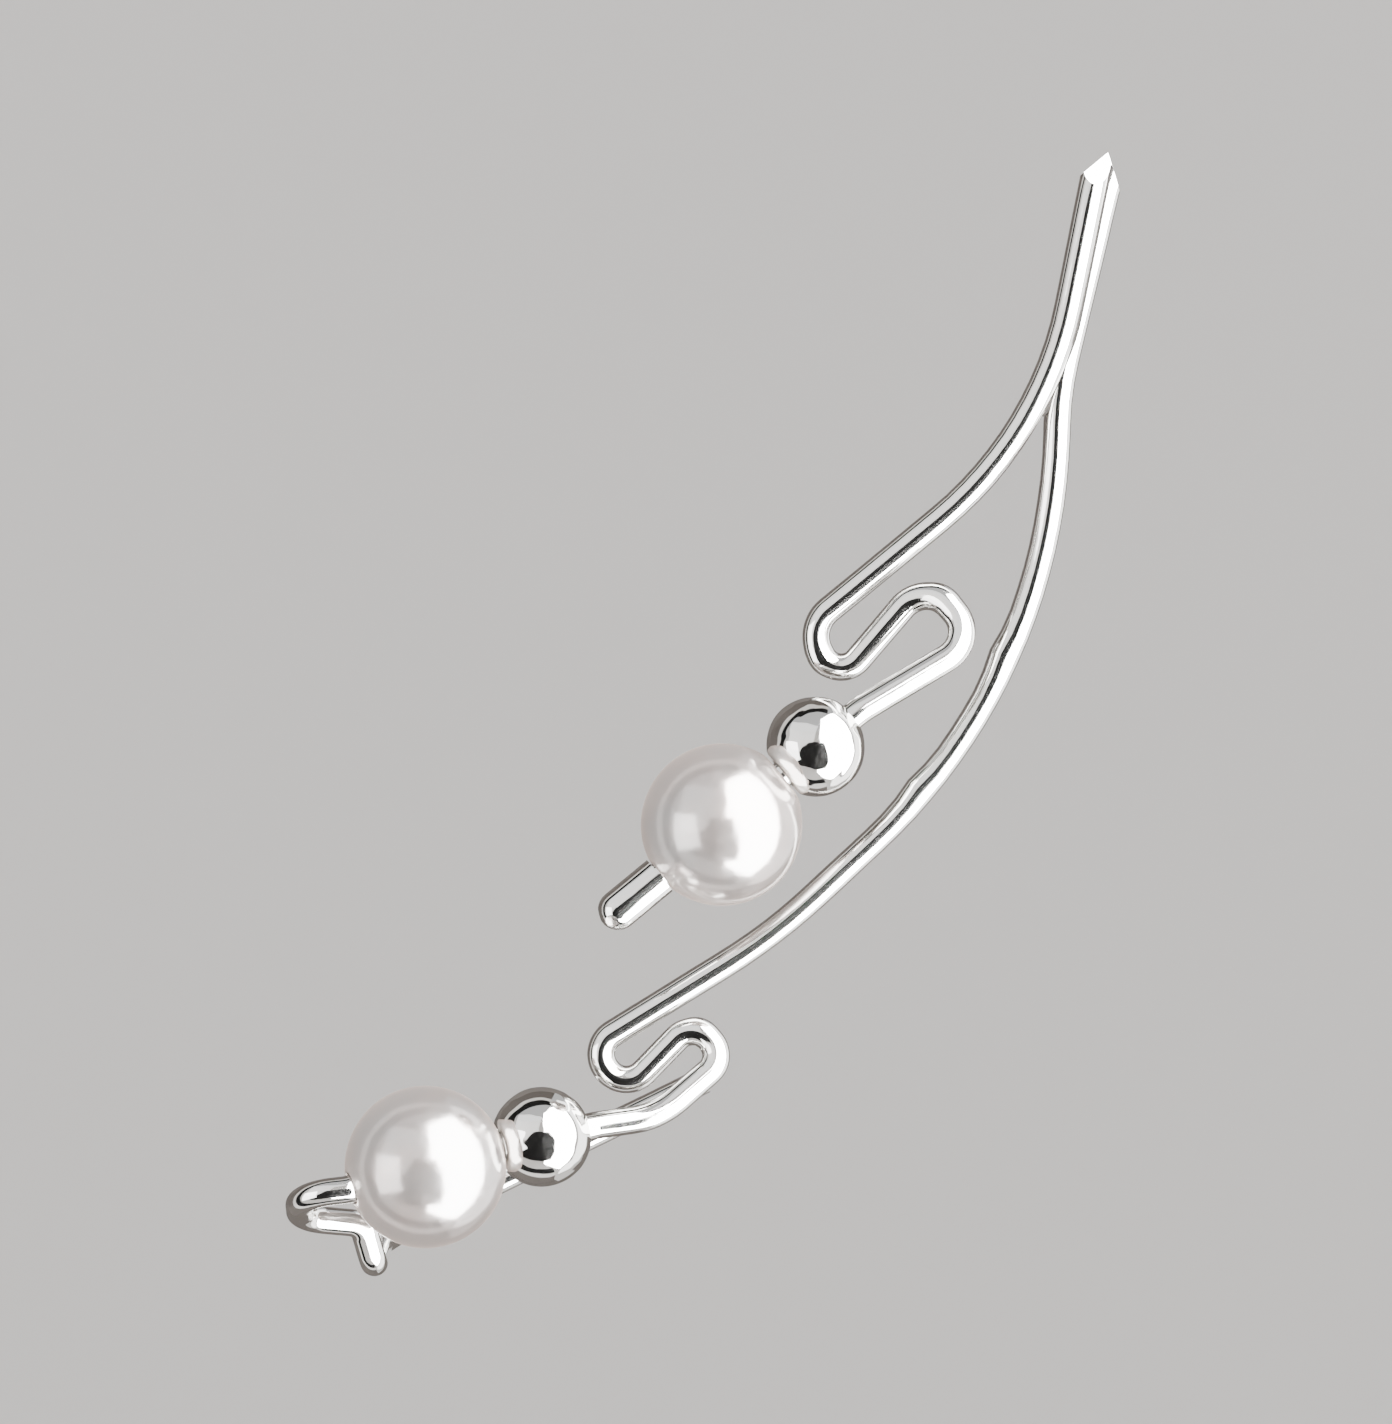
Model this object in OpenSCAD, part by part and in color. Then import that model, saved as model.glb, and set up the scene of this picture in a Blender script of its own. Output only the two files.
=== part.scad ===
// Pearl ear climber. Two silver wires are soldered together at a filed tip. Each is bent into
// an S and carries a drilled silver bead and a drilled pearl. The upper wire ends in a thickened
// stop. The lower wire turns back under its pearl, runs through the lobe and rises as a straight pin.
// X is across, +Y goes into the ear, Z is up. The origin is where the wire enters the lobe.

/* [Wire] */
// Diameter of the silver wire
wire_d = 0.6; // [0.56:0.01:0.62]
// Diameter of the thickened end that keeps the upper pearl on
stop_d = 0.88; // [0.8:0.02:1]

/* [Pearls and beads] */
// Diameter of each pearl
pearl_d = 3.5; // [3.2:0.05:3.6]
// Diameter of each silver bead
bead_d = 2.15; // [1.9:0.05:2.2]
// Play of the wire in a drilled hole, across the diameter
hole_play = 0.16; // [0.14:0.02:0.2]
// Diameter of the flat seats that a bead and its pearl turn to each other
seat_d = 1.1; // [0.9:0.05:1.15]
// Gap between those seats
seat_gap = 0.06; // [0.05:0.01:0.1]

/* [Ear] */
// Thickness of lobe that fits between the front wirework and the pin
lobe_t = 4.4; // [4.2:0.1:6]
// Length of the pin behind the ear, from the corner of its bend
pin_l = 8; // [7:0.5:12]
// Slope of the pin above the horizontal, in degrees
pin_slope = 26; // [24:1:45]

/* [Hidden] */
$fn = 48;

wire_r = wire_d / 2;
hole_r = wire_r + hole_play / 2;

// Column of a route's rows that holds the radius of the bend at that corner
BEND = 3;

// Corners of the upper wire, from above the tip down: across, depth, up, bend radius
upper_route = [
    [15.78, -0.80, 24.35, 0],
    [14.51, -0.80, 18.02, 8.1],
    [9.42, -0.50, 13.84, 0.74],
    [10.05, -0.45, 12.59, 0.48],
    [11.99, -0.75, 14.88, 0.73],
    [13.10, -1.35, 13.57, 0.73],
    [10.54, -1.70, 12.04, 1.5],
    [5.32, -1.96, 7.73, 0],
];
// Row after which the upper wire runs straight through its bead and pearl
UPPER_STEM = 6;
// Distance along that stem to where the bead and the pearl meet
upper_meet = 2.185;

// Corners of the lower wire, from above the tip down: across, depth, up, bend radius
front_route = [
    [16.15, -0.45, 24.35, 0],
    [14.86, -0.45, 18.97, 6.8],
    [14.69, -0.45, 12.77, 12.5],
    [8.67, -0.45, 7.17, 13],
    [4.70, -0.45, 4.72, 0.53],
    [5.43, -0.45, 3.73, 0.53],
    [6.94, -0.50, 5.29, 0.49],
    [7.63, -0.62, 4.50, 0.49],
    [6.17, -0.90, 3.23, 2],
    [4.83, -1.14, 3.05, 1],
    [2.745, -1.685, 2.62, 1.5],
    [-0.52, -2.53, 1.71, 0.5],
    [-1.57, -2.60, 1.60, 0.75],
    [-1.57, -1.00, 1.03, 0.75],
    [-0.24, -0.60, 0.90, 0.45],
    [0, -0.10, 0, 0.45],
];
// Row at which the lower bead and pearl meet
LOWER_MEET = 10;

// The point that both wires are filed to, and how each of the file's cuts leans from level:
// about the X axis and about the Y axis, in degrees
tip_point = [15.94, -0.60, 24.14];
FILE_CUTS = [
    [0, -40],
    [0, 73],
    [62, 0],
    [-62, 0],
];

// Radius of the pin's bend behind the lobe, and how far that bend lies above the origin
pin_bend = 1.5;
pin_rise = 0.35;
pin_corner = [0, lobe_t + wire_r, pin_rise];
pin_dir = [cos(pin_slope), 0, sin(pin_slope)];
pin_end = pin_corner + pin_dir * pin_l;
lower_route = concat(front_route, [concat(pin_corner, [pin_bend]), concat(pin_end, [0])]);

// Sides of a swept wire, and the most that one step along a bend may turn through and be long
SIDES = 14;
STEP_TURN = 12;
STEP_LENGTH = 1;
// A swept wire's flats stand this far outside the round pin that goes on from it
PROUD = 0.003;
// How far one stretch of metal reaches into the next that it is one with
LAP = 0.25;
// Distance from a drilled ball's centre to the rim of its hole, and to its flat seat
function rim_reach(ball_d) = sqrt(pow(ball_d / 2, 2) - pow(hole_r, 2));
function seat_reach(ball_d) = sqrt(pow(ball_d / 2, 2) - pow(seat_d / 2, 2));

function place(row) = [row.x, row.y, row.z];
function unit(v) = v / norm(v);

// A vector swung about an axis by an angle
function swing(v, axis, angle) =
    v * cos(angle) + cross(axis, v) * sin(angle) + axis * (axis * v) * (1 - cos(angle));

// Direction of the leg that leaves corner i
function heading(route, i) = unit(place(route[i + 1]) - place(route[i]));

// Angle that the wire turns through at corner i
function turn(route, i) = acos(heading(route, i - 1) * heading(route, i));

function is_corner(route, i) = i > 0 && i < len(route) - 1;

// Distance from corner i to either end of its bend
function setback(route, i) = is_corner(route, i) ? route[i][BEND] * tan(turn(route, i) / 2) : 0;

// Where the thickened end starts and how long it is, on the stem of the upper wire
stop_start = upper_meet + seat_gap + seat_reach(pearl_d) + rim_reach(pearl_d);
stem_length = norm(place(upper_route[UPPER_STEM + 1]) - place(upper_route[UPPER_STEM]));
stop_length = stem_length - stop_start + stop_d / 2;

// Point on the leg after corner i, at a distance from that corner
function after(route, i, distance) = place(route[i]) + heading(route, i) * distance;

// Point on the leg before corner i, at a distance from that corner
function before(route, i, distance) = place(route[i]) - heading(route, i - 1) * distance;

// Axis that the wire turns about at corner i
function bend_axis(route, i) = unit(cross(heading(route, i - 1), heading(route, i)));

// Direction across the wire on the leg after corner i, carried along the wire without twist
function side(route, i) =
    i == 0
        ? unit(cross(heading(route, 0), [0, 1, 0]))
        : swing(side(route, i - 1), bend_axis(route, i), turn(route, i));

// A section is a place on the wire, the wire's direction there, and a direction across it.
// These are the sections of the bend at corner i.
function bend_sections(route, i) =
    let(angle = turn(route, i))
    let(bend_r = route[i][BEND])
    let(axis = bend_axis(route, i))
    let(start = before(route, i, setback(route, i)))
    let(centre = start + cross(axis, heading(route, i - 1)) * bend_r)
    let(steps = ceil(max(angle / STEP_TURN, bend_r * angle * PI / 180 / STEP_LENGTH)))
    [for (k = [0 : steps])
        let(a = angle * k / steps)
        [
            centre + swing(start - centre, axis, a),
            swing(heading(route, i - 1), axis, a),
            swing(side(route, i - 1), axis, a),
        ]];

// The sections of the bends at corners 1 to last
function bent(route, last) = [for (i = [1 : last]) each bend_sections(route, i)];

// A section on the leg after corner i, at a distance from that corner
function section(route, i, distance) = [after(route, i, distance), heading(route, i), side(route, i)];

corner_r = (wire_r + PROUD) / cos(180 / SIDES);

// The corners of one section
function ring(section) =
    let(across = cross(section[1], section[2]))
    [for (k = [0 : SIDES - 1])
        let(a = 360 * k / SIDES)
        section[0] + (section[2] * cos(a) + across * sin(a)) * corner_r];

// A solid through a row of sections, closed flat at both ends
module swept(sections) {
    last = len(sections) - 1;
    polyhedron(
        points = [for (s = sections) each ring(s)],
        faces = [
            [for (k = [0 : SIDES - 1]) k],
            [for (k = [SIDES - 1 : -1 : 0]) last * SIDES + k],
            for (j = [0 : last - 1])
                for (k = [0 : SIDES - 1])
                    let(next = (k + 1) % SIDES)
                    [j * SIDES + k, (j + 1) * SIDES + k, (j + 1) * SIDES + next, j * SIDES + next],
        ],
        convexity = 10);
}

// Turns what stands along Z so that it lies along a direction
module lay_along(direction) {
    rotate([0, acos(direction.z / norm(direction)), atan2(direction.y, direction.x)]) children();
}

// A round rod along Z with a rounded end
module round_ended(length, r) {
    rotate_extrude()
        polygon(concat([[0, 0], [r, 0]], [for (a = [0 : 15 : 90]) [r * cos(a), length - r + r * sin(a)]]));
}

// The upper wire, from the tip to inside its thickened end
module upper_wire() {
    route = upper_route;
    end = section(route, UPPER_STEM, stop_start + LAP);
    swept(concat([section(route, 0, 0)], bent(route, UPPER_STEM), [end]));
}

// The lower wire, from the tip to the end of the bend behind the lobe
module lower_wire() {
    route = lower_route;
    swept(concat([section(route, 0, 0)], bent(route, len(route) - 2)));
}

// What one stroke of the file takes off above the tip
module file_cut(lean) {
    size = 4;
    translate(tip_point)
        rotate([lean[0], lean[1], 0])
            translate([-size / 2, -size / 2, 0])
                cube(size);
}

// The thickened end of the upper wire, from just outside its pearl
module stop() {
    translate(after(upper_route, UPPER_STEM, stop_start))
        lay_along(heading(upper_route, UPPER_STEM))
            round_ended(stop_length, stop_d / 2);
}

// The straight pin behind the ear
module pin() {
    corner = len(lower_route) - 2;
    start = setback(lower_route, corner) - LAP;
    translate(after(lower_route, corner, start))
        lay_along(pin_dir)
            round_ended(pin_l - start, wire_r);
}

// A ball drilled along a direction, with a flat seat on the side that it points to
module drilled_ball(at, ball_d, direction) {
    translate(at)
        lay_along(direction)
            difference() {
                sphere(d = ball_d);
                cylinder(h = 2 * ball_d, r = hole_r, center = true);
                translate([0, 0, seat_reach(ball_d)])
                    cylinder(h = ball_d, r = ball_d);
            }
}

module wire_frame() {
    color("silver") {
        difference() {
            union() {
                upper_wire();
                lower_wire();
            }
            for (lean = FILE_CUTS) {
                file_cut(lean);
            }
        }
        stop();
        pin();
    }
}

module upper_bead() {
    stem = heading(upper_route, UPPER_STEM);
    reach = upper_meet - seat_gap / 2 - seat_reach(bead_d);
    color("gainsboro")
        drilled_ball(after(upper_route, UPPER_STEM, reach), bead_d, stem);
}

module upper_pearl() {
    stem = heading(upper_route, UPPER_STEM);
    reach = upper_meet + seat_gap / 2 + seat_reach(pearl_d);
    color("seashell")
        drilled_ball(after(upper_route, UPPER_STEM, reach), pearl_d, -stem);
}

module lower_bead() {
    stem = heading(lower_route, LOWER_MEET - 1);
    reach = seat_gap / 2 + seat_reach(bead_d);
    color("gainsboro")
        drilled_ball(before(lower_route, LOWER_MEET, reach), bead_d, stem);
}

module lower_pearl() {
    stem = heading(lower_route, LOWER_MEET);
    reach = seat_gap / 2 + seat_reach(pearl_d);
    color("seashell")
        drilled_ball(after(lower_route, LOWER_MEET, reach), pearl_d, -stem);
}

wire_frame();
upper_bead();
upper_pearl();
lower_bead();
lower_pearl();
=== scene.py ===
"""Pearl ear climber: bent silver wire, drilled silver beads and pearls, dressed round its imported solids."""

from math import asin, atan2, ceil, cos, pi, radians, sin, sqrt, tan

import bpy
from mathutils import Euler, Matrix, Vector


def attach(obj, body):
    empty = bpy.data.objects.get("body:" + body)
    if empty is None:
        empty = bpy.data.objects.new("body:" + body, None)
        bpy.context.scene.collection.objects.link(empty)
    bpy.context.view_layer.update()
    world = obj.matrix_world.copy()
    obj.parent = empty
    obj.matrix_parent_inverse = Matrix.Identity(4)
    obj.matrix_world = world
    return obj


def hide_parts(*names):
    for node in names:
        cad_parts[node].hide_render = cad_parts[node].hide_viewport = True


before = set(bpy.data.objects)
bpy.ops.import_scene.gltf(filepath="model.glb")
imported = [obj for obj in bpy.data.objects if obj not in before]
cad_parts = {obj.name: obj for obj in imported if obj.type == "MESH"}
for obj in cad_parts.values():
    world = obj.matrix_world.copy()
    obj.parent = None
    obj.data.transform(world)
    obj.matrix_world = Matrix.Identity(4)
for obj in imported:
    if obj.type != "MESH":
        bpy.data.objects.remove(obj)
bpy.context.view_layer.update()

bl_info = {
    "name": "Pearl ear climber",
    "version": (1, 0, 0),
    "blender": (4, 5, 0),
    "location": "3D View > Sidebar > Ear climber",
    "description": "Makes a silver ear climber with drilled beads and pearls, and its studio",
    "category": "Object",
}

MM = 0.001

# Corners of each wire from above the tip down, in millimetres: across, depth, up, radius of the bend there
UPPER_ROUTE = [
    (15.78, -0.80, 24.35, 0),
    (14.51, -0.80, 18.02, 8.1),
    (9.42, -0.50, 13.84, 0.74),
    (10.05, -0.45, 12.59, 0.48),
    (11.99, -0.75, 14.88, 0.73),
    (13.10, -1.35, 13.57, 0.73),
    (10.54, -1.70, 12.04, 1.5),
    (5.32, -1.96, 7.73, 0),
]
LOWER_ROUTE = [
    (16.15, -0.45, 24.35, 0),
    (14.86, -0.45, 18.97, 6.8),
    (14.69, -0.45, 12.77, 12.5),
    (8.67, -0.45, 7.17, 13),
    (4.70, -0.45, 4.72, 0.53),
    (5.43, -0.45, 3.73, 0.53),
    (6.94, -0.50, 5.29, 0.49),
    (7.63, -0.62, 4.50, 0.49),
    (6.17, -0.90, 3.23, 2),
    (4.83, -1.14, 3.05, 1),
    (2.745, -1.685, 2.62, 1.5),
    (-0.52, -2.53, 1.71, 0.5),
    (-1.57, -2.60, 1.60, 0.75),
    (-1.57, -1.00, 1.03, 0.75),
    (-0.24, -0.60, 0.90, 0.45),
    (0, -0.10, 0, 0.45),
    (0, 4.70, 0.35, 1.5),
    (7.19, 4.70, 3.857, 0),
]
# The solder that runs along the front groove between the two wires, from the tip to the fork; its dark colour
# is painted shade in the groove
SOLDER_ROUTE = [
    (16.065, -0.745, 24.35, 0),
    (15.225, -0.745, 20.20, 4),
    (14.60, -0.66, 18.60, 0),
]
# Column of a route's rows that holds the radius of the bend
BEND = 3

# Radius of the solder, and the rings that it thins out through at the fork, as distance and radius
SOLDER_RADIUS = 0.08 * MM
SOLDER_END = [(0.10 * MM, 0.06 * MM), (0.20 * MM, 0.02 * MM)]

# The point that both wires are filed to, and how each of the file's cuts leans from level: about X, about Y
TIP_POINT = (15.94, -0.60, 24.14)
FILE_CUTS = [(0, -40), (0, 73), (57, 20), (-62, 0)]
# How much further back than the upper wire the lower wire and the solder are filed, so that no faces coincide
LOWER_BACK = 0.004 * MM
SOLDER_BACK = 0.008 * MM

# Rows of the routes where the upper stem starts and where the lower bead and pearl meet
UPPER_STEM = 6
LOWER_MEET = 10
# Distance along the upper stem to where its bead and pearl meet, and the gap between their seats
UPPER_MEET = 2.185 * MM
SEAT_GAP = 0.06 * MM

# Sides of the swept metal
WIRE_SIDES = 36
SOLDER_SIDES = 24
STOP_SIDES = 40
# The most that one step along a bend turns through, and its longest length in millimetres
BEND_TURN = radians(4)
BEND_LENGTH = 0.5
# The longest step along a straight leg
LEG_LENGTH = 0.6 * MM

# Where the rings of a rounded end stand round its quarter circle, in degrees: the pin's and the stop's
PIN_RINGS = (25, 50, 75)
STOP_RINGS = (12, 24, 36, 48, 60, 72, 82)
# Flats that the file left on the stop: how each leans away from the wire, and its distance in radii
STOP_FLATS = [((-0.95, -0.30, 0.10), 0.90), ((0.35, -0.85, -0.15), 0.93)]
# How much of the wire's own direction is added to such a lean
STOP_ALONG = 0.9
# Width of the stop's eased edges, and the least angle between two faces whose edge is eased
STOP_EASE = 0.04 * MM
STOP_EDGE = radians(14)

# Marks that the pliers left: a place on the wire, which way the metal was pushed, how far, over what length
UPPER_MARKS = [
    ((9.75, -0.50, 13.20), (-0.80, 0, -0.60), 0.03, 0.50),
    ((12.45, -0.95, 14.60), (0.35, 0, 0.94), 0.03, 0.50),
]
LOWER_MARKS = [
    ((13.50, -0.45, 13.40), (-0.86, 0, 0.50), 0.09, 0.80),
    ((11.50, -0.45, 10.35), (-0.70, 0, 0.71), 0.08, 0.75),
    ((7.05, -0.52, 5.05), (0.30, 0, 0.95), 0.03, 0.45),
]
# Points that one mark takes hold of, and how far they lie from its place in the direction of the push,
# in millimetres
MARK_POINTS = 6
MARK_SKIN = 0.3

# Unevenness of each metal and of the pearls: how far apart its waves are, and how deep they go
HAND_BENDING = (1.4 * MM, 0.016 * MM)
BEAD_DENTS = (1.3 * MM, 0.05 * MM)
PEARL_GROWTH = (1.9 * MM, 0.03 * MM)

# How far the rim of a hole and of a seat is eased
RIM_EASE = 0.02 * MM
# Steps down a ball's outline and round it
BEAD_STEPS = (40, 80)
PEARL_STEPS = (56, 112)

# Faces that meet at less than this are shaded as one
SMOOTH_BELOW = radians(24)
# Points nearer than this are merged, and places nearer than this are the same
MERGE_BELOW = 1e-7
SAME_BELOW = 1e-8

# Sizes of the patterns in the finishes
SWIRL = 0.9 * MM
SOLDER_PIT = 0.15 * MM
BEAD_WAVE = 0.8 * MM
BEAD_SCUFF = 0.08 * MM
NACRE_CLOUD = 1.3 * MM
NACRE_GROWTH = 0.25 * MM
# Draw lines in each radius of the wire: across it one way, across it the other way, and along it
DRAW_LINES = (24, 24, 0.04)

# The point that the camera and the lights face
MIDDLE = Vector((7.0, 0, 12.0)) * MM
# Where each soft light stands, in metres, and its size across and up
KEY = ((0.176, -0.141, 0.012), (0.40, 1.10))
FILL = ((-0.192, -0.140, -0.030), (0.165, 0.20))
GLOW = ((-0.130, -0.190, 0.105), (0.28, 0.30))
RIM = ((0.250, 0.120, 0.012), (0.16, 1.00))
TOP = ((0.05, 0.05, 0.55), (0.6, 0.6))
# The air of the studio, and the nearest and furthest that the camera sees, in metres
AIR_COLOUR = "E4E4E6"
AIR_STRENGTH = 0.9
CLIP = (0.01, 5)

# The card under the camera, in metres: its depth, and rows as height, left end and right end
CARD_DEPTH = -0.20
CARD_ROWS = [
    (-0.26, -0.310, 0.125),
    (-0.14, -0.200, 0.125),
    (-0.03, -0.105, 0.092),
    (0.045, -0.050, 0.062),
]
# Colours of the cloths that polished things mirror
CLOTHS = {"black_flock": "222222", "grey_felt": "6C6764", "white_felt": "EDEBE8"}
# Hoops round the line of sight, in metres: cloth, two rings as radius and depth, and how far right it reaches
HOOPS = {
    "black_hoop": ("black_flock", [(0.30, 0.03), (0.30, -0.05)], 0.10),
    "white_hoop": ("white_felt", [(0.30, 0.09), (0.30, 0.03)], 0.10),
    "grey_hoop": ("grey_felt", [(0.30, 0.30), (0.30, 0.09)], 0.10),
    "grey_collar": ("grey_felt", [(0.06, 0.30), (0.30, 0.30)], 1.0),
}
HOOP_SIDES = 64


class EarClimberSizes(bpy.types.PropertyGroup):
    """Sizes of the climber's metal and pearls."""

    wire: bpy.props.FloatProperty(
        name="Wire diameter", description="Diameter of the silver wire",
        default=0.6 * MM, unit="LENGTH", precision=5)
    stop: bpy.props.FloatProperty(
        name="Stop diameter", description="Diameter of the thickened end below the upper pearl",
        default=0.88 * MM, unit="LENGTH", precision=5)
    pearl: bpy.props.FloatProperty(
        name="Pearl diameter", description="Diameter of each pearl",
        default=3.5 * MM, unit="LENGTH", precision=5)
    bead: bpy.props.FloatProperty(
        name="Bead diameter", description="Diameter of each silver bead",
        default=2.15 * MM, unit="LENGTH", precision=5)
    hole: bpy.props.FloatProperty(
        name="Hole diameter", description="Diameter of the hole drilled in each bead and pearl",
        default=0.67 * MM, unit="LENGTH", precision=5)
    mouth: bpy.props.FloatProperty(
        name="Mouth diameter", description="Diameter of the eased mouth of each drilled hole",
        default=0.76 * MM, unit="LENGTH", precision=5)
    seat: bpy.props.FloatProperty(
        name="Seat diameter", description="Diameter of the flat that a bead and its pearl turn to each other",
        default=1.1 * MM, unit="LENGTH", precision=5)


class EarClimberColours(bpy.types.PropertyGroup):
    """Colours of the metal, the pearls and the studio, as sRGB hex values."""

    silver: bpy.props.StringProperty(
        name="Silver", description="Colour of the polished silver", default="F4F3F0")
    # The solder's dark colour is painted shade for the groove between the wires
    solder: bpy.props.StringProperty(
        name="Solder", description="Colour of the solder in the groove between the wires", default="3A3633")
    nacre: bpy.props.StringProperty(
        name="Nacre", description="Body colour of the pearls", default="C5C1BF")
    blush: bpy.props.StringProperty(
        name="Overtone", description="Pinkish overtone of the pearls", default="D3C5BF")
    floor: bpy.props.StringProperty(
        name="Floor", description="Colour of the studio's floor and walls", default="D9D7D5")


class EarClimberStudio(bpy.types.PropertyGroup):
    """The camera and the lights."""

    distance: bpy.props.FloatProperty(
        name="Camera distance", description="From the camera to the middle of the climber",
        default=0.265, unit="LENGTH", precision=4)
    lens: bpy.props.FloatProperty(
        name="Lens", description="Focal length", default=308, unit="CAMERA")
    key: bpy.props.FloatProperty(
        name="Key light",
        description="Power of the tall soft light on the right, as polished things mirror it",
        default=55, unit="POWER")
    wash: bpy.props.FloatProperty(
        name="Key wash", description="Power of the same light, as it falls on matt things",
        default=7.4, unit="POWER")
    fill: bpy.props.FloatProperty(
        name="Fill light", description="Power of the small soft light on the left",
        default=0.5, unit="POWER")
    glow: bpy.props.FloatProperty(
        name="Left glow", description="Power of the dim panel on the left, as polished things mirror it",
        default=0.26, unit="POWER")
    rim: bpy.props.FloatProperty(
        name="Right rim",
        description="Power of the panel behind the right edge, as polished things mirror it",
        default=1.5, unit="POWER")
    top: bpy.props.FloatProperty(
        name="Top light", description="Power of the soft light overhead",
        default=4.2, unit="POWER")


def linear(hex_colour):
    """An sRGB hex colour as the linear colour with alpha that a shader takes."""
    parts = [int(hex_colour[i:i + 2], 16) / 255 for i in (0, 2, 4)]
    return [p / 12.92 if p <= 0.04045 else ((p + 0.055) / 1.055) ** 2.4 for p in parts] + [1]


def add_node(tree, kind, settings=None, links=None):
    """Adds one node. Settings name its properties or its sockets, and links name what feeds a socket."""
    node = tree.nodes.new(kind)
    for key, value in (settings or {}).items():
        if key in node.inputs:
            node.inputs[key].default_value = value
        else:
            setattr(node, key, value)
    for key, source in (links or {}).items():
        tree.links.new(source, node.inputs[key])
    return node


def new_material(name):
    """An empty node material and its tree."""
    material = bpy.data.materials.new(name)
    material.use_nodes = True
    material.node_tree.nodes.clear()
    return material, material.node_tree


def drawn_silver(hex_colour):
    """Sterling silver wire, drawn through a die, bent with pliers and polished by hand.

    The die leaves fine lines along the wire and the polish leaves soft swirls, so a reflection is
    bright but a little streaked. Draw lines are about 0.01 mm apart, which is too fine to see one by
    one in a render, as in the photograph, and these keep that size: they only soften a reflection.
    """
    material, tree = new_material("sterling_silver_drawn_polished")
    along = add_node(tree, "ShaderNodeAttribute", {"attribute_name": "drawn"})
    stretched = add_node(
        tree, "ShaderNodeMapping", {"Scale": DRAW_LINES}, {"Vector": along.outputs["Vector"]})
    lines = add_node(
        tree, "ShaderNodeTexNoise", {"Scale": 1, "Detail": 1}, {"Vector": stretched.outputs[0]})
    place = add_node(tree, "ShaderNodeTexCoord")
    swirls = add_node(
        tree, "ShaderNodeTexNoise", {"Scale": 1 / SWIRL, "Detail": 2, "Distortion": 0.4},
        {"Vector": place.outputs["Object"]})
    dull = add_node(
        tree, "ShaderNodeMapRange", {"From Min": 0.3, "From Max": 0.7, "To Min": 0.04, "To Max": 0.11},
        {"Value": lines.outputs["Fac"]})
    waves = add_node(
        tree, "ShaderNodeBump", {"Strength": 0.3, "Distance": 0.02 * MM}, {"Height": swirls.outputs["Fac"]})
    bump = add_node(
        tree, "ShaderNodeBump", {"Strength": 0.04, "Distance": 0.004 * MM},
        {"Height": lines.outputs["Fac"], "Normal": waves.outputs[0]})
    shader = add_node(
        tree, "ShaderNodeBsdfPrincipled", {"Base Color": linear(hex_colour), "Metallic": 1},
        {"Roughness": dull.outputs[0], "Normal": bump.outputs[0]})
    add_node(tree, "ShaderNodeOutputMaterial", {}, {"Surface": shader.outputs[0]})
    return material


def solder_darkened_as_groove_shade(hex_colour):
    """Hard silver solder, flowed into the groove between the wires.

    Its dull dark colour is painted shade: it stands in for the shade that falls in the groove between the
    wires.
    """
    material, tree = new_material("silver_solder_painted_groove_shade")
    place = add_node(tree, "ShaderNodeTexCoord")
    pits = add_node(
        tree, "ShaderNodeTexNoise", {"Scale": 1 / SOLDER_PIT, "Detail": 2},
        {"Vector": place.outputs["Object"]})
    bump = add_node(
        tree, "ShaderNodeBump", {"Strength": 0.2, "Distance": 0.01 * MM}, {"Height": pits.outputs["Fac"]})
    shader = add_node(
        tree, "ShaderNodeBsdfPrincipled",
        {"Base Color": linear(hex_colour), "Roughness": 0.7, "Specular IOR Level": 0.1},
        {"Normal": bump.outputs[0]})
    add_node(tree, "ShaderNodeOutputMaterial", {}, {"Surface": shader.outputs[0]})
    return material


def burnished_silver(hex_colour):
    """Sterling silver bead, pressed from sheet and barrel-polished.

    Tumbling leaves it mirror-bright with soft dents, so what it reflects bends and breaks up.
    """
    material, tree = new_material("sterling_silver_barrel_polished")
    place = add_node(tree, "ShaderNodeTexCoord")
    dents = add_node(
        tree, "ShaderNodeTexNoise", {"Scale": 1 / BEAD_WAVE, "Detail": 1, "Distortion": 0.6},
        {"Vector": place.outputs["Object"]})
    scuffs = add_node(
        tree, "ShaderNodeTexNoise", {"Scale": 1 / BEAD_SCUFF, "Detail": 4},
        {"Vector": place.outputs["Object"]})
    dull = add_node(
        tree, "ShaderNodeMapRange", {"From Min": 0.35, "From Max": 0.7, "To Min": 0.03, "To Max": 0.09},
        {"Value": scuffs.outputs["Fac"]})
    bump = add_node(
        tree, "ShaderNodeBump", {"Strength": 0.8, "Distance": 0.06 * MM}, {"Height": dents.outputs["Fac"]})
    shader = add_node(
        tree, "ShaderNodeBsdfPrincipled", {"Base Color": linear(hex_colour), "Metallic": 1},
        {"Roughness": dull.outputs[0], "Normal": bump.outputs[0]})
    add_node(tree, "ShaderNodeOutputMaterial", {}, {"Surface": shader.outputs[0]})
    return material


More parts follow.
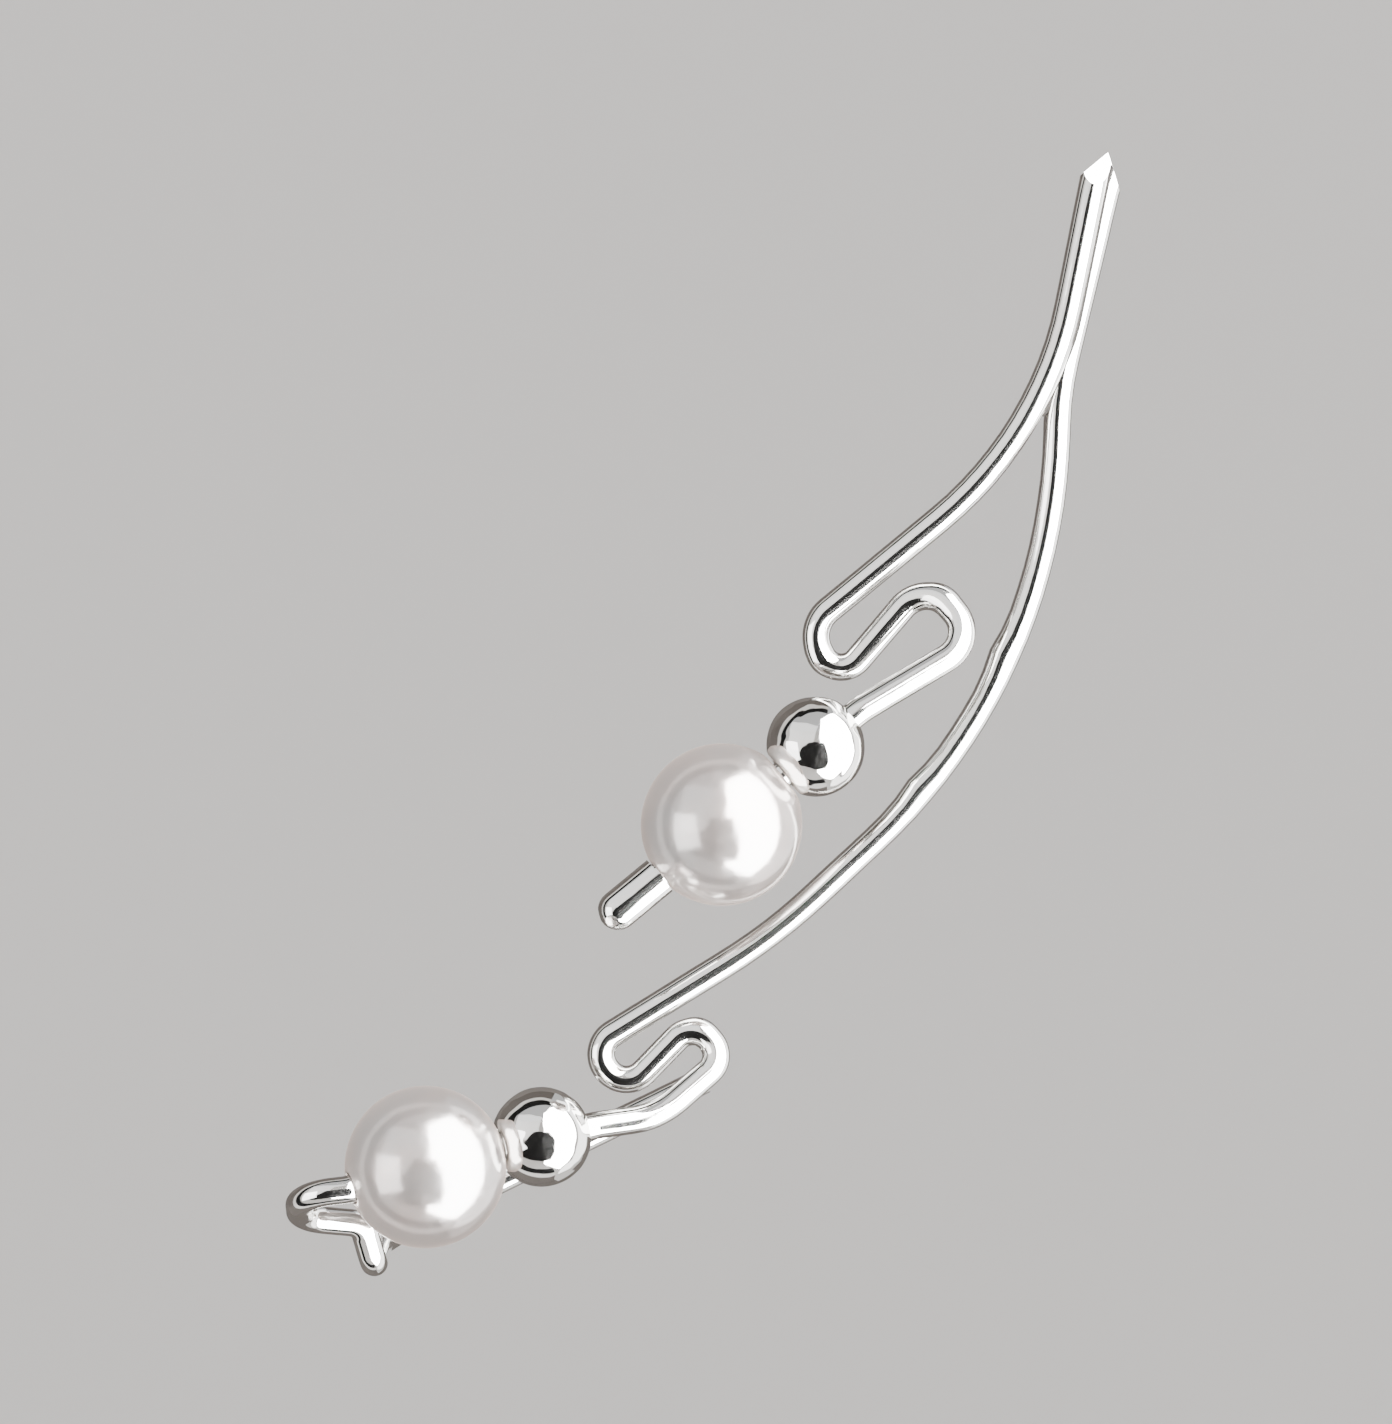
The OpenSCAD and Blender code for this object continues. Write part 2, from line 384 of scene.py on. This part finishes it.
def nacre(body_hex, blush_hex):
    """Nacre, the pearl's own layered shell, polished.

    Its stacked layers reflect more than glass does, with a soft pinkish overtone and faint cloudy growth.
    """
    material, tree = new_material("nacre_polished")
    place = add_node(tree, "ShaderNodeTexCoord")
    clouds = add_node(
        tree, "ShaderNodeTexNoise", {"Scale": 1 / NACRE_CLOUD, "Detail": 3},
        {"Vector": place.outputs["Object"]})
    growth = add_node(
        tree, "ShaderNodeTexNoise", {"Scale": 1 / NACRE_GROWTH, "Detail": 3},
        {"Vector": place.outputs["Object"]})
    colour = add_node(tree, "ShaderNodeValToRGB", {}, {"Fac": clouds.outputs["Fac"]})
    body, blush = colour.color_ramp.elements
    body.position, body.color = 0.35, linear(body_hex)
    blush.position, blush.color = 0.75, linear(blush_hex)
    gloss = add_node(
        tree, "ShaderNodeMapRange", {"From Min": 0.3, "From Max": 0.7, "To Min": 0.15, "To Max": 0.22},
        {"Value": growth.outputs["Fac"]})
    waves = add_node(
        tree, "ShaderNodeBump", {"Strength": 0.5, "Distance": 0.05 * MM}, {"Height": clouds.outputs["Fac"]})
    bump = add_node(
        tree, "ShaderNodeBump", {"Strength": 0.06, "Distance": 0.004 * MM},
        {"Height": growth.outputs["Fac"], "Normal": waves.outputs[0]})
    shader = add_node(
        tree, "ShaderNodeBsdfPrincipled",
        {"Metallic": 0.5, "IOR": 1.66, "Coat Weight": 0.5, "Coat Roughness": 0.07, "Coat IOR": 1.6,
         "Sheen Weight": 0.9, "Sheen Roughness": 0.35, "Sheen Tint": linear("F2DDD2")},
        {"Base Color": colour.outputs["Color"], "Roughness": gloss.outputs[0], "Normal": bump.outputs[0]})
    add_node(tree, "ShaderNodeOutputMaterial", {}, {"Surface": shader.outputs[0]})
    return material


def matt(name, hex_colour):
    """Matt background paper, felt or flock, whose fibres scatter light evenly and leave no gloss."""
    material, tree = new_material(name)
    shader = add_node(tree, "ShaderNodeBsdfDiffuse", {"Color": linear(hex_colour)})
    add_node(tree, "ShaderNodeOutputMaterial", {}, {"Surface": shader.outputs[0]})
    return material


def place_of(row):
    """Place of a route's row, in metres."""
    return Vector(row[:3]) * MM


def heading(route, i):
    """Direction of the leg that leaves corner i."""
    return (place_of(route[i + 1]) - place_of(route[i])).normalized()


def turn(route, i):
    """Angle that the wire turns through at corner i."""
    return heading(route, i - 1).angle(heading(route, i))


def setback(route, i):
    """Distance from corner i to either end of its bend."""
    if i == 0 or i == len(route) - 1:
        return 0
    return route[i][BEND] * MM * tan(turn(route, i) / 2)


def deselect_all():
    """Leaves edit mode and selects nothing."""
    if bpy.context.mode != "OBJECT":
        bpy.ops.object.mode_set(mode="OBJECT")
    bpy.ops.object.select_all(action="DESELECT")


def pick(obj):
    """Makes one object the only one selected, and the active one."""
    deselect_all()
    obj.select_set(True)
    bpy.context.view_layer.objects.active = obj


def select_points(obj, test):
    """Selects, in edit mode, the points whose place passes a test."""
    bpy.ops.object.mode_set(mode="OBJECT")
    for polygon in obj.data.polygons:
        polygon.select = False
    for edge in obj.data.edges:
        edge.select = False
    for vertex in obj.data.vertices:
        vertex.select = bool(test(vertex.co))
    bpy.ops.object.mode_set(mode="EDIT")
    bpy.ops.mesh.select_mode(type="VERT")


def close_and_face_out():
    """Merges doubles, fills open ends and points every face of the active mesh outwards."""
    bpy.ops.object.mode_set(mode="EDIT")
    bpy.ops.mesh.select_mode(type="VERT")
    bpy.ops.mesh.select_all(action="SELECT")
    bpy.ops.mesh.remove_doubles(threshold=MERGE_BELOW)
    bpy.ops.mesh.select_all(action="SELECT")
    bpy.ops.mesh.fill_holes(sides=0)
    bpy.ops.mesh.select_all(action="SELECT")
    bpy.ops.mesh.normals_make_consistent(inside=False)
    bpy.ops.object.mode_set(mode="OBJECT")


def settle(obj):
    """Puts the object at the origin, with its place in its mesh."""
    pick(obj)
    bpy.ops.object.transform_apply(location=True, rotation=True, scale=True)


def apply_modifier(obj, kind, name, **settings):
    """Adds a modifier with its settings and applies it."""
    modifier = obj.modifiers.new(name, kind)
    for key, value in settings.items():
        setattr(modifier, key, value)
    bpy.context.view_layer.objects.active = obj
    bpy.ops.object.modifier_apply(modifier=modifier.name)


def cut_ring(route, radius, sides):
    """Adds the ring that a wire starts from, square to its first leg, and records its station.

    A station is a place on the wire, the wire's direction there and a direction across it.
    """
    deselect_all()
    start, down = place_of(route[0]), heading(route, 0)
    bpy.ops.mesh.primitive_circle_add(
        vertices=sides, radius=radius, fill_type="NOTHING",
        location=start, rotation=down.to_track_quat("Z", "Y").to_euler())
    wire = bpy.context.object
    settle(wire)
    side = (wire.data.vertices[0].co - start).normalized()
    bpy.ops.object.mode_set(mode="EDIT")
    bpy.ops.mesh.select_mode(type="EDGE")
    bpy.ops.mesh.select_all(action="SELECT")
    return wire, [(start, down, side)]


def draw_on(stations, move, scale=1.0):
    """Extrudes the open ring along the wire, and narrows or widens it."""
    centre, along, side = stations[-1]
    bpy.ops.mesh.extrude_region_move(TRANSFORM_OT_translate={"value": move})
    if scale != 1.0:
        bpy.ops.transform.resize(value=(scale, scale, scale), center_override=centre + move)
    stations.append((centre + move, along, side))


def bend_on(stations, route, i):
    """Spins the open ring round corner i of its route."""
    centre, along, side = stations[-1]
    angle = turn(route, i)
    axis = heading(route, i - 1).cross(heading(route, i)).normalized()
    pivot = centre + axis.cross(along) * route[i][BEND] * MM
    steps = max(2, ceil(angle / BEND_TURN), ceil(route[i][BEND] * angle / BEND_LENGTH))
    bpy.ops.mesh.spin(steps=steps, angle=-angle, center=pivot, axis=axis)
    for k in range(1, steps + 1):
        swing = Matrix.Rotation(angle * k / steps, 3, axis)
        stations.append((pivot + swing @ (centre - pivot), swing @ along, swing @ side))


def run_legs(stations, route):
    """Extrudes each straight leg in short lengths, and spins each corner."""
    for i in range(len(route) - 1):
        end = place_of(route[i + 1]) - heading(route, i) * setback(route, i + 1)
        leg = end - stations[-1][0]
        count = max(1, ceil(leg.length / LEG_LENGTH))
        for _ in range(count):
            draw_on(stations, leg / count)
        if i + 1 < len(route) - 1:
            bend_on(stations, route, i + 1)


def record_drawing(wire, stations, radius, sides):
    """Stores where each point lies round and along the wire, so that draw lines follow its bends."""
    drawn = wire.data.attributes.new("drawn", "FLOAT_VECTOR", "POINT")
    length = 0
    for k, (centre, along, side) in enumerate(stations):
        if k:
            length += (centre - stations[k - 1][0]).length
        across = along.cross(side)
        for j in range(k * sides, (k + 1) * sides):
            offset = wire.data.vertices[j].co - centre
            if offset.length > radius * 3:
                raise RuntimeError(f"ring {k} of {wire.name} is not where its route says")
            angle = atan2(offset.dot(across), offset.dot(side))
            drawn.data[j].vector = (cos(angle), sin(angle), length / radius)


def sweep_route(name, route, radius, sides, tail=()):
    """Bends a wire along a route. The tail is the rings of its far end, as distance and radius."""
    wire, stations = cut_ring(route, radius, sides)
    run_legs(stations, route)
    width = radius
    for distance, ring_radius in tail:
        move = place_of(route[-1]) + stations[-1][1] * distance - stations[-1][0]
        draw_on(stations, move, ring_radius / width)
        width = ring_radius
    bpy.ops.object.mode_set(mode="OBJECT")
    wire.name = wire.data.name = name
    record_drawing(wire, stations, radius, sides)
    close_and_face_out()
    return wire


def round_end(radius, angles):
    """Rings of a rounded end, as distance past the last corner and radius."""
    return [(radius * sin(radians(a)), radius * cos(radians(a))) for a in angles]


def pin_tail(radius):
    """Rings of the pin's rounded end, which stands back so that the pin keeps its length."""
    return [(d - radius, r) for d, r in round_end(radius, PIN_RINGS)]


def press_marks(wire, marks):
    """Pushes the metal a little where pliers gripped it."""
    pick(wire)
    for at, way, depth, spread in marks:
        spot = Vector(at) * MM
        push = Vector(way).normalized()
        points = sorted(wire.data.vertices, key=lambda v: (v.co - spot - push * MARK_SKIN * MM).length)
        places = [v.co.copy() for v in points[:MARK_POINTS]]
        select_points(wire, lambda co: any((co - p).length < SAME_BELOW for p in places))
        bpy.ops.transform.translate(
            value=push * depth * MM, use_proportional_edit=True, use_proportional_connected=True,
            proportional_edit_falloff="SMOOTH", proportional_size=spread * MM)
        bpy.ops.object.mode_set(mode="OBJECT")


def cut_flat(piece, at, facing):
    """Files a flat: takes off what lies beyond a plane, and closes the cut."""
    pick(piece)
    bpy.ops.object.mode_set(mode="EDIT")
    bpy.ops.mesh.select_all(action="SELECT")
    bpy.ops.mesh.bisect(
        plane_co=at, plane_no=facing, clear_outer=True, use_fill=True, threshold=SAME_BELOW)
    bpy.ops.object.mode_set(mode="OBJECT")


def file_tip(wire, back):
    """Files a wire to the shared point at the top, or that far short of it."""
    for lean_x, lean_y in FILE_CUTS:
        facing = Euler((radians(lean_x), radians(lean_y), 0)).to_matrix() @ Vector((0, 0, 1))
        cut_flat(wire, Vector(TIP_POINT) * MM - facing * back, facing)


def make_stop(radius, start):
    """The thickened end of the upper wire: a rod with a long dome, on which the file left small flats."""
    down = heading(UPPER_ROUTE, UPPER_STEM)
    foot = place_of(UPPER_ROUTE[UPPER_STEM]) + down * start
    end = place_of(UPPER_ROUTE[-1])
    route = [tuple(foot / MM) + (0,), tuple(end / MM) + (0,)]
    stop = sweep_route("stop", route, radius, STOP_SIDES, tail=round_end(radius, STOP_RINGS))
    for slant, share in STOP_FLATS:
        facing = (down * STOP_ALONG + Vector(slant)).normalized()
        cut_flat(stop, end + facing * radius * share, facing)
    apply_modifier(
        stop, "BEVEL", "eased_edges", width=STOP_EASE, segments=3, limit_method="ANGLE",
        angle_limit=STOP_EDGE)
    return stop


def join_metal(parts, name):
    """Joins soldered metal into one piece."""
    deselect_all()
    for part in parts:
        part.select_set(True)
    bpy.context.view_layer.objects.active = parts[0]
    bpy.ops.object.join()
    joined = bpy.context.object
    joined.name = joined.data.name = name
    return joined


def roughen(piece, name, waves, detail=0):
    """Makes a surface a little uneven, as bending, tumbling or growth leaves it."""
    unevenness = bpy.data.textures.new(name, "CLOUDS")
    unevenness.noise_scale, depth = waves
    unevenness.noise_depth = detail
    apply_modifier(piece, "DISPLACE", name, texture=unevenness, strength=depth, mid_level=0.5)


def finish_piece(piece, node):
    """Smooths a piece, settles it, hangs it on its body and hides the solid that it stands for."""
    pick(piece)
    bpy.ops.object.shade_smooth_by_angle(angle=SMOOTH_BELOW)
    settle(piece)
    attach(piece, "root")
    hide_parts(node)


def reach(ball, ring):
    """Distance from the centre of a ball to a ring round its axis, both given as diameters."""
    return sqrt(ball ** 2 - ring ** 2) / 2


def ball_outline(sizes, ball, count):
    """Outline of a drilled ball as radius and height: a flat seat at the top, and eased mouths."""
    hole, mouth, seat, radius = sizes.hole / 2, sizes.mouth / 2, sizes.seat / 2, ball / 2
    top, bottom = reach(ball, sizes.seat), -reach(ball, sizes.mouth)
    ease = RIM_EASE
    first, last = asin((seat + 2 * ease) / radius), pi - asin((mouth + ease) / radius)
    arc = [first + (last - first) * k / count for k in range(count + 1)]
    flat = [(hole, top - 3 * ease), (hole + ease / 2, top - ease), (mouth, top), (seat - 3 * ease, top)]
    rim = [(mouth - ease / 2, bottom + ease / 4), (hole + ease / 2, bottom + ease), (hole, bottom + 3 * ease)]
    return flat + [(radius * sin(a), radius * cos(a)) for a in arc] + rim


def turned(name, outline, steps):
    """Turns a closed outline, given as radius and height, about Z."""
    deselect_all()
    bpy.ops.mesh.primitive_plane_add(size=MM)
    piece = bpy.context.object
    piece.name = piece.data.name = name
    bpy.ops.object.mode_set(mode="EDIT")
    bpy.ops.mesh.select_mode(type="VERT")
    bpy.ops.mesh.select_all(action="SELECT")
    bpy.ops.mesh.merge(type="CENTER")
    points = [Vector((r, 0, z)) for r, z in outline]
    bpy.ops.transform.translate(value=points[0])
    for here, following in zip(points, points[1:] + points[:1]):
        bpy.ops.mesh.extrude_vertices_move(TRANSFORM_OT_translate={"value": following - here})
    bpy.ops.mesh.select_all(action="SELECT")
    bpy.ops.mesh.spin(steps=steps, angle=2 * pi, center=(0, 0, 0), axis=(0, 0, 1))
    close_and_face_out()
    return piece


def make_ball(name, sizes, ball, steps, place):
    """A drilled ball, turned so that its hole lies along the wire and its seat faces its partner."""
    centre, facing = place
    piece = turned(name, ball_outline(sizes, ball, steps[0]), steps[1])
    piece.rotation_euler = facing.to_track_quat("Z", "Y").to_euler()
    piece.location = centre
    settle(piece)
    return piece


def bead_places(sizes):
    """Centre of the upper and the lower bead, and which way the seat of each faces."""
    distance = reach(sizes.bead, sizes.seat) + SEAT_GAP / 2
    upper, lower = heading(UPPER_ROUTE, UPPER_STEM), heading(LOWER_ROUTE, LOWER_MEET - 1)
    return (
        (place_of(UPPER_ROUTE[UPPER_STEM]) + upper * (UPPER_MEET - distance), upper),
        (place_of(LOWER_ROUTE[LOWER_MEET]) - lower * distance, lower))


def pearl_places(sizes):
    """Centre of the upper and the lower pearl, and which way the seat of each faces."""
    distance = reach(sizes.pearl, sizes.seat) + SEAT_GAP / 2
    upper, lower = heading(UPPER_ROUTE, UPPER_STEM), heading(LOWER_ROUTE, LOWER_MEET)
    return (
        (place_of(UPPER_ROUTE[UPPER_STEM]) + upper * (UPPER_MEET + distance), -upper),
        (place_of(LOWER_ROUTE[LOWER_MEET]) + lower * distance, -lower))


class EARCLIMBER_OT_wire_frame(bpy.types.Operator):
    """Bend the two soldered silver wires, with their filed tip, stop and pin"""

    bl_idname = "earclimber.wire_frame"
    bl_label = "Wire frame"

    def execute(self, context):
        sizes, colours = context.scene.earclimber_sizes, context.scene.earclimber_colours
        radius = sizes.wire / 2
        upper = sweep_route("upper_wire", UPPER_ROUTE, radius, WIRE_SIDES)
        lower = sweep_route("lower_wire", LOWER_ROUTE, radius, WIRE_SIDES, tail=pin_tail(radius))
        solder = sweep_route("solder", SOLDER_ROUTE, SOLDER_RADIUS, SOLDER_SIDES, tail=SOLDER_END)
        for part, back in ((upper, 0), (lower, LOWER_BACK), (solder, SOLDER_BACK)):
            file_tip(part, back)
        press_marks(lower, LOWER_MARKS)
        press_marks(upper, UPPER_MARKS)
        pearl_length = reach(sizes.pearl, sizes.seat) + reach(sizes.pearl, sizes.mouth)
        stop = make_stop(sizes.stop / 2, UPPER_MEET + SEAT_GAP + pearl_length)
        silver = drawn_silver(colours.silver)
        for part in (upper, lower, stop):
            part.data.materials.append(silver)
        # The dark solder finish paints the shade in the groove between the wires
        solder.data.materials.append(solder_darkened_as_groove_shade(colours.solder))
        metal = join_metal([upper, lower, solder, stop], "silver_wires")
        roughen(metal, "hand_bending", HAND_BENDING, detail=2)
        finish_piece(metal, "wire_frame")
        return {"FINISHED"}


class EARCLIMBER_OT_beads(bpy.types.Operator):
    """Drill the two silver beads and thread them on the wires"""

    bl_idname = "earclimber.beads"
    bl_label = "Silver beads"

    def execute(self, context):
        sizes, colours = context.scene.earclimber_sizes, context.scene.earclimber_colours
        silver = burnished_silver(colours.silver)
        names = (("bead_upper", "upper_bead"), ("bead_lower", "lower_bead"))
        for (name, node), place in zip(names, bead_places(sizes)):
            bead = make_ball(name, sizes, sizes.bead, BEAD_STEPS, place)
            roughen(bead, name, BEAD_DENTS)
            bead.data.materials.append(silver)
            finish_piece(bead, node)
        return {"FINISHED"}


class EARCLIMBER_OT_pearls(bpy.types.Operator):
    """Drill the two pearls and thread them on the wires"""

    bl_idname = "earclimber.pearls"
    bl_label = "Pearls"

    def execute(self, context):
        sizes, colours = context.scene.earclimber_sizes, context.scene.earclimber_colours
        shell = nacre(colours.nacre, colours.blush)
        names = (("pearl_upper", "upper_pearl"), ("pearl_lower", "lower_pearl"))
        for (name, node), place in zip(names, pearl_places(sizes)):
            pearl = make_ball(name, sizes, sizes.pearl, PEARL_STEPS, place)
            roughen(pearl, name, PEARL_GROWTH)
            pearl.data.materials.append(shell)
            finish_piece(pearl, node)
        return {"FINISHED"}


def make_bowl(material):
    """A seamless floor that curves up into a wall all round."""
    flat, curve, sides, steps = 0.35, 0.35, 128, 14
    floor_height, wall_height = -0.60, 0.75
    deselect_all()
    bpy.ops.mesh.primitive_circle_add(
        vertices=sides, radius=flat, fill_type="NGON", location=(0, 0, floor_height))
    bowl = bpy.context.object
    bowl.name = bowl.data.name = "floor_and_walls"
    settle(bowl)
    bpy.ops.object.mode_set(mode="EDIT")
    bpy.ops.mesh.select_all(action="SELECT")
    for k in range(steps):
        a, b = pi / 2 * k / steps, pi / 2 * (k + 1) / steps
        rise = curve * (cos(a) - cos(b))
        bpy.ops.mesh.extrude_region_move(TRANSFORM_OT_translate={"value": (0, 0, rise)})
        widen = (flat + curve * sin(b)) / (flat + curve * sin(a))
        bpy.ops.transform.resize(value=(widen, widen, 1), center_override=(0, 0, 0))
    bpy.ops.mesh.extrude_region_move(TRANSFORM_OT_translate={"value": (0, 0, wall_height)})
    bpy.ops.mesh.delete(type="ONLY_FACE")
    bpy.ops.object.mode_set(mode="OBJECT")
    bowl.data.materials.append(material)
    bpy.ops.object.shade_smooth()


def hang(card, name, material):
    """Names a card, gives it its cloth and lets only polished things show it."""
    bpy.ops.object.mode_set(mode="OBJECT")
    card.name = card.data.name = name
    card.data.materials.append(material)
    card.visible_camera = card.visible_diffuse = card.visible_shadow = False


def make_card(name, material, depth, rows):
    """A flat card that faces the piece, through rows given as height, left end and right end."""
    deselect_all()
    height, left, right = rows[0]
    bpy.ops.mesh.primitive_plane_add(size=1, rotation=(pi / 2, 0, 0))
    card = bpy.context.object
    settle(card)
    # Only the plane's lower edge stays, which is half its size below the middle
    select_points(card, lambda co: co.z > 0)
    bpy.ops.mesh.delete(type="VERT")
    bpy.ops.mesh.select_mode(type="EDGE")
    bpy.ops.mesh.select_all(action="SELECT")
    bpy.ops.transform.resize(value=(right - left, 1, 1), center_override=(0, 0, 0))
    bpy.ops.transform.translate(value=((left + right) / 2, depth, height + 0.5))
    for next_height, next_left, next_right in rows[1:]:
        middle = (next_left + next_right) / 2
        move = (middle - (left + right) / 2, 0, next_height - height)
        bpy.ops.mesh.extrude_region_move(TRANSFORM_OT_translate={"value": move})
        widen = (next_right - next_left) / (right - left)
        bpy.ops.transform.resize(value=(widen, 1, 1), center_override=(middle, depth, next_height))
        height, left, right = next_height, next_left, next_right
    hang(card, name, material)


def make_hoop(name, material, rings, right_end):
    """A hoop of cloth round the line of sight, through rings of a radius and depth, cut at its right end."""
    deselect_all()
    radius, depth = rings[0]
    bpy.ops.mesh.primitive_circle_add(
        vertices=HOOP_SIDES, radius=radius, fill_type="NOTHING",
        location=(MIDDLE.x, depth, MIDDLE.z), rotation=(pi / 2, 0, 0))
    hoop = bpy.context.object
    settle(hoop)
    bpy.ops.object.mode_set(mode="EDIT")
    bpy.ops.mesh.select_mode(type="EDGE")
    bpy.ops.mesh.select_all(action="SELECT")
    for (near, y), (far, next_y) in zip(rings, rings[1:]):
        bpy.ops.mesh.extrude_region_move(TRANSFORM_OT_translate={"value": (0, next_y - y, 0)})
        bpy.ops.transform.resize(
            value=(far / near, 1, far / near), center_override=(MIDDLE.x, next_y, MIDDLE.z))
    select_points(hoop, lambda co: co.x > right_end)
    bpy.ops.mesh.delete(type="VERT")
    hang(hoop, name, material)


def make_cards():
    """A black card below the camera and hoops round the piece, which give polished metal its dark lines."""
    cloths = {name: matt(name, hex_colour) for name, hex_colour in CLOTHS.items()}
    make_card("black_card", cloths["black_flock"], CARD_DEPTH, CARD_ROWS)
    for name, (cloth, rings, right_end) in HOOPS.items():
        make_hoop(name, cloths[cloth], rings, right_end)


def add_soft_light(name, placing, power, mirrored=True, lighting=True):
    """A rectangular soft light, for what polished things mirror, for matt things, or both."""
    where, size = placing
    data = bpy.data.lights.new(name, "AREA")
    data.shape = "RECTANGLE"
    data.size, data.size_y = size
    data.energy = power
    light = bpy.data.objects.new(name, data)
    bpy.context.scene.collection.objects.link(light)
    light.location = where
    light.rotation_euler = (MIDDLE - Vector(where)).to_track_quat("-Z", "Y").to_euler()
    light.visible_camera = False
    light.visible_glossy = mirrored
    light.visible_diffuse = lighting


def fill_with_air(scene):
    """Even pale light from all round, as a white room gives."""
    world = bpy.data.worlds.new("studio_air")
    world.use_nodes = True
    air = world.node_tree.nodes["Background"]
    air.inputs["Color"].default_value = linear(AIR_COLOUR)
    air.inputs["Strength"].default_value = AIR_STRENGTH
    scene.world = world


def add_camera(scene, distance, lens):
    """The camera, level with the middle of the climber and square to it."""
    data = bpy.data.cameras.new("camera")
    data.lens = lens
    data.clip_start, data.clip_end = CLIP
    camera = bpy.data.objects.new("camera", data)
    scene.collection.objects.link(camera)
    camera.location = MIDDLE + Vector((0, -distance, 0))
    camera.rotation_euler = (pi / 2, 0, 0)
    scene.camera = camera


class EARCLIMBER_OT_stage(bpy.types.Operator):
    """Set up the floor, the soft lights and the camera"""

    bl_idname = "earclimber.stage"
    bl_label = "Studio"

    def execute(self, context):
        studio, colours = context.scene.earclimber_studio, context.scene.earclimber_colours
        make_bowl(matt("background_paper_matt", colours.floor))
        make_cards()
        add_soft_light("key_right", KEY, studio.key, lighting=False)
        add_soft_light("key_wash", KEY, studio.wash, mirrored=False)
        add_soft_light("fill_left", FILL, studio.fill)
        add_soft_light("glow_left", GLOW, studio.glow, lighting=False)
        add_soft_light("rim_right", RIM, studio.rim, lighting=False)
        add_soft_light("top_wash", TOP, studio.top, mirrored=False)
        fill_with_air(context.scene)
        add_camera(context.scene, studio.distance, studio.lens)
        return {"FINISHED"}


class EARCLIMBER_PT_panel(bpy.types.Panel):
    """Lists the climber's pieces"""

    bl_idname = "EARCLIMBER_PT_panel"
    bl_label = "Ear climber"
    bl_space_type = "VIEW_3D"
    bl_region_type = "UI"
    bl_category = "Ear climber"

    def draw(self, context):
        scene = context.scene
        for settings in (scene.earclimber_sizes, scene.earclimber_colours, scene.earclimber_studio):
            box = self.layout.box()
            for key in settings.__annotations__:
                box.prop(settings, key)
        for operator in OPERATORS:
            self.layout.operator(operator.bl_idname)


OPERATORS = (EARCLIMBER_OT_wire_frame, EARCLIMBER_OT_beads, EARCLIMBER_OT_pearls, EARCLIMBER_OT_stage)
CLASSES = (EarClimberSizes, EarClimberColours, EarClimberStudio) + OPERATORS + (EARCLIMBER_PT_panel,)


def register():
    for cls in CLASSES:
        bpy.utils.register_class(cls)
    bpy.types.Scene.earclimber_sizes = bpy.props.PointerProperty(type=EarClimberSizes)
    bpy.types.Scene.earclimber_colours = bpy.props.PointerProperty(type=EarClimberColours)
    bpy.types.Scene.earclimber_studio = bpy.props.PointerProperty(type=EarClimberStudio)


def unregister():
    del bpy.types.Scene.earclimber_studio
    del bpy.types.Scene.earclimber_colours
    del bpy.types.Scene.earclimber_sizes
    for cls in reversed(CLASSES):
        bpy.utils.unregister_class(cls)


def main():
    register()
    bpy.ops.earclimber.wire_frame()
    bpy.ops.earclimber.beads()
    bpy.ops.earclimber.pearls()
    bpy.ops.earclimber.stage()


if __name__ == "__main__":
    main()
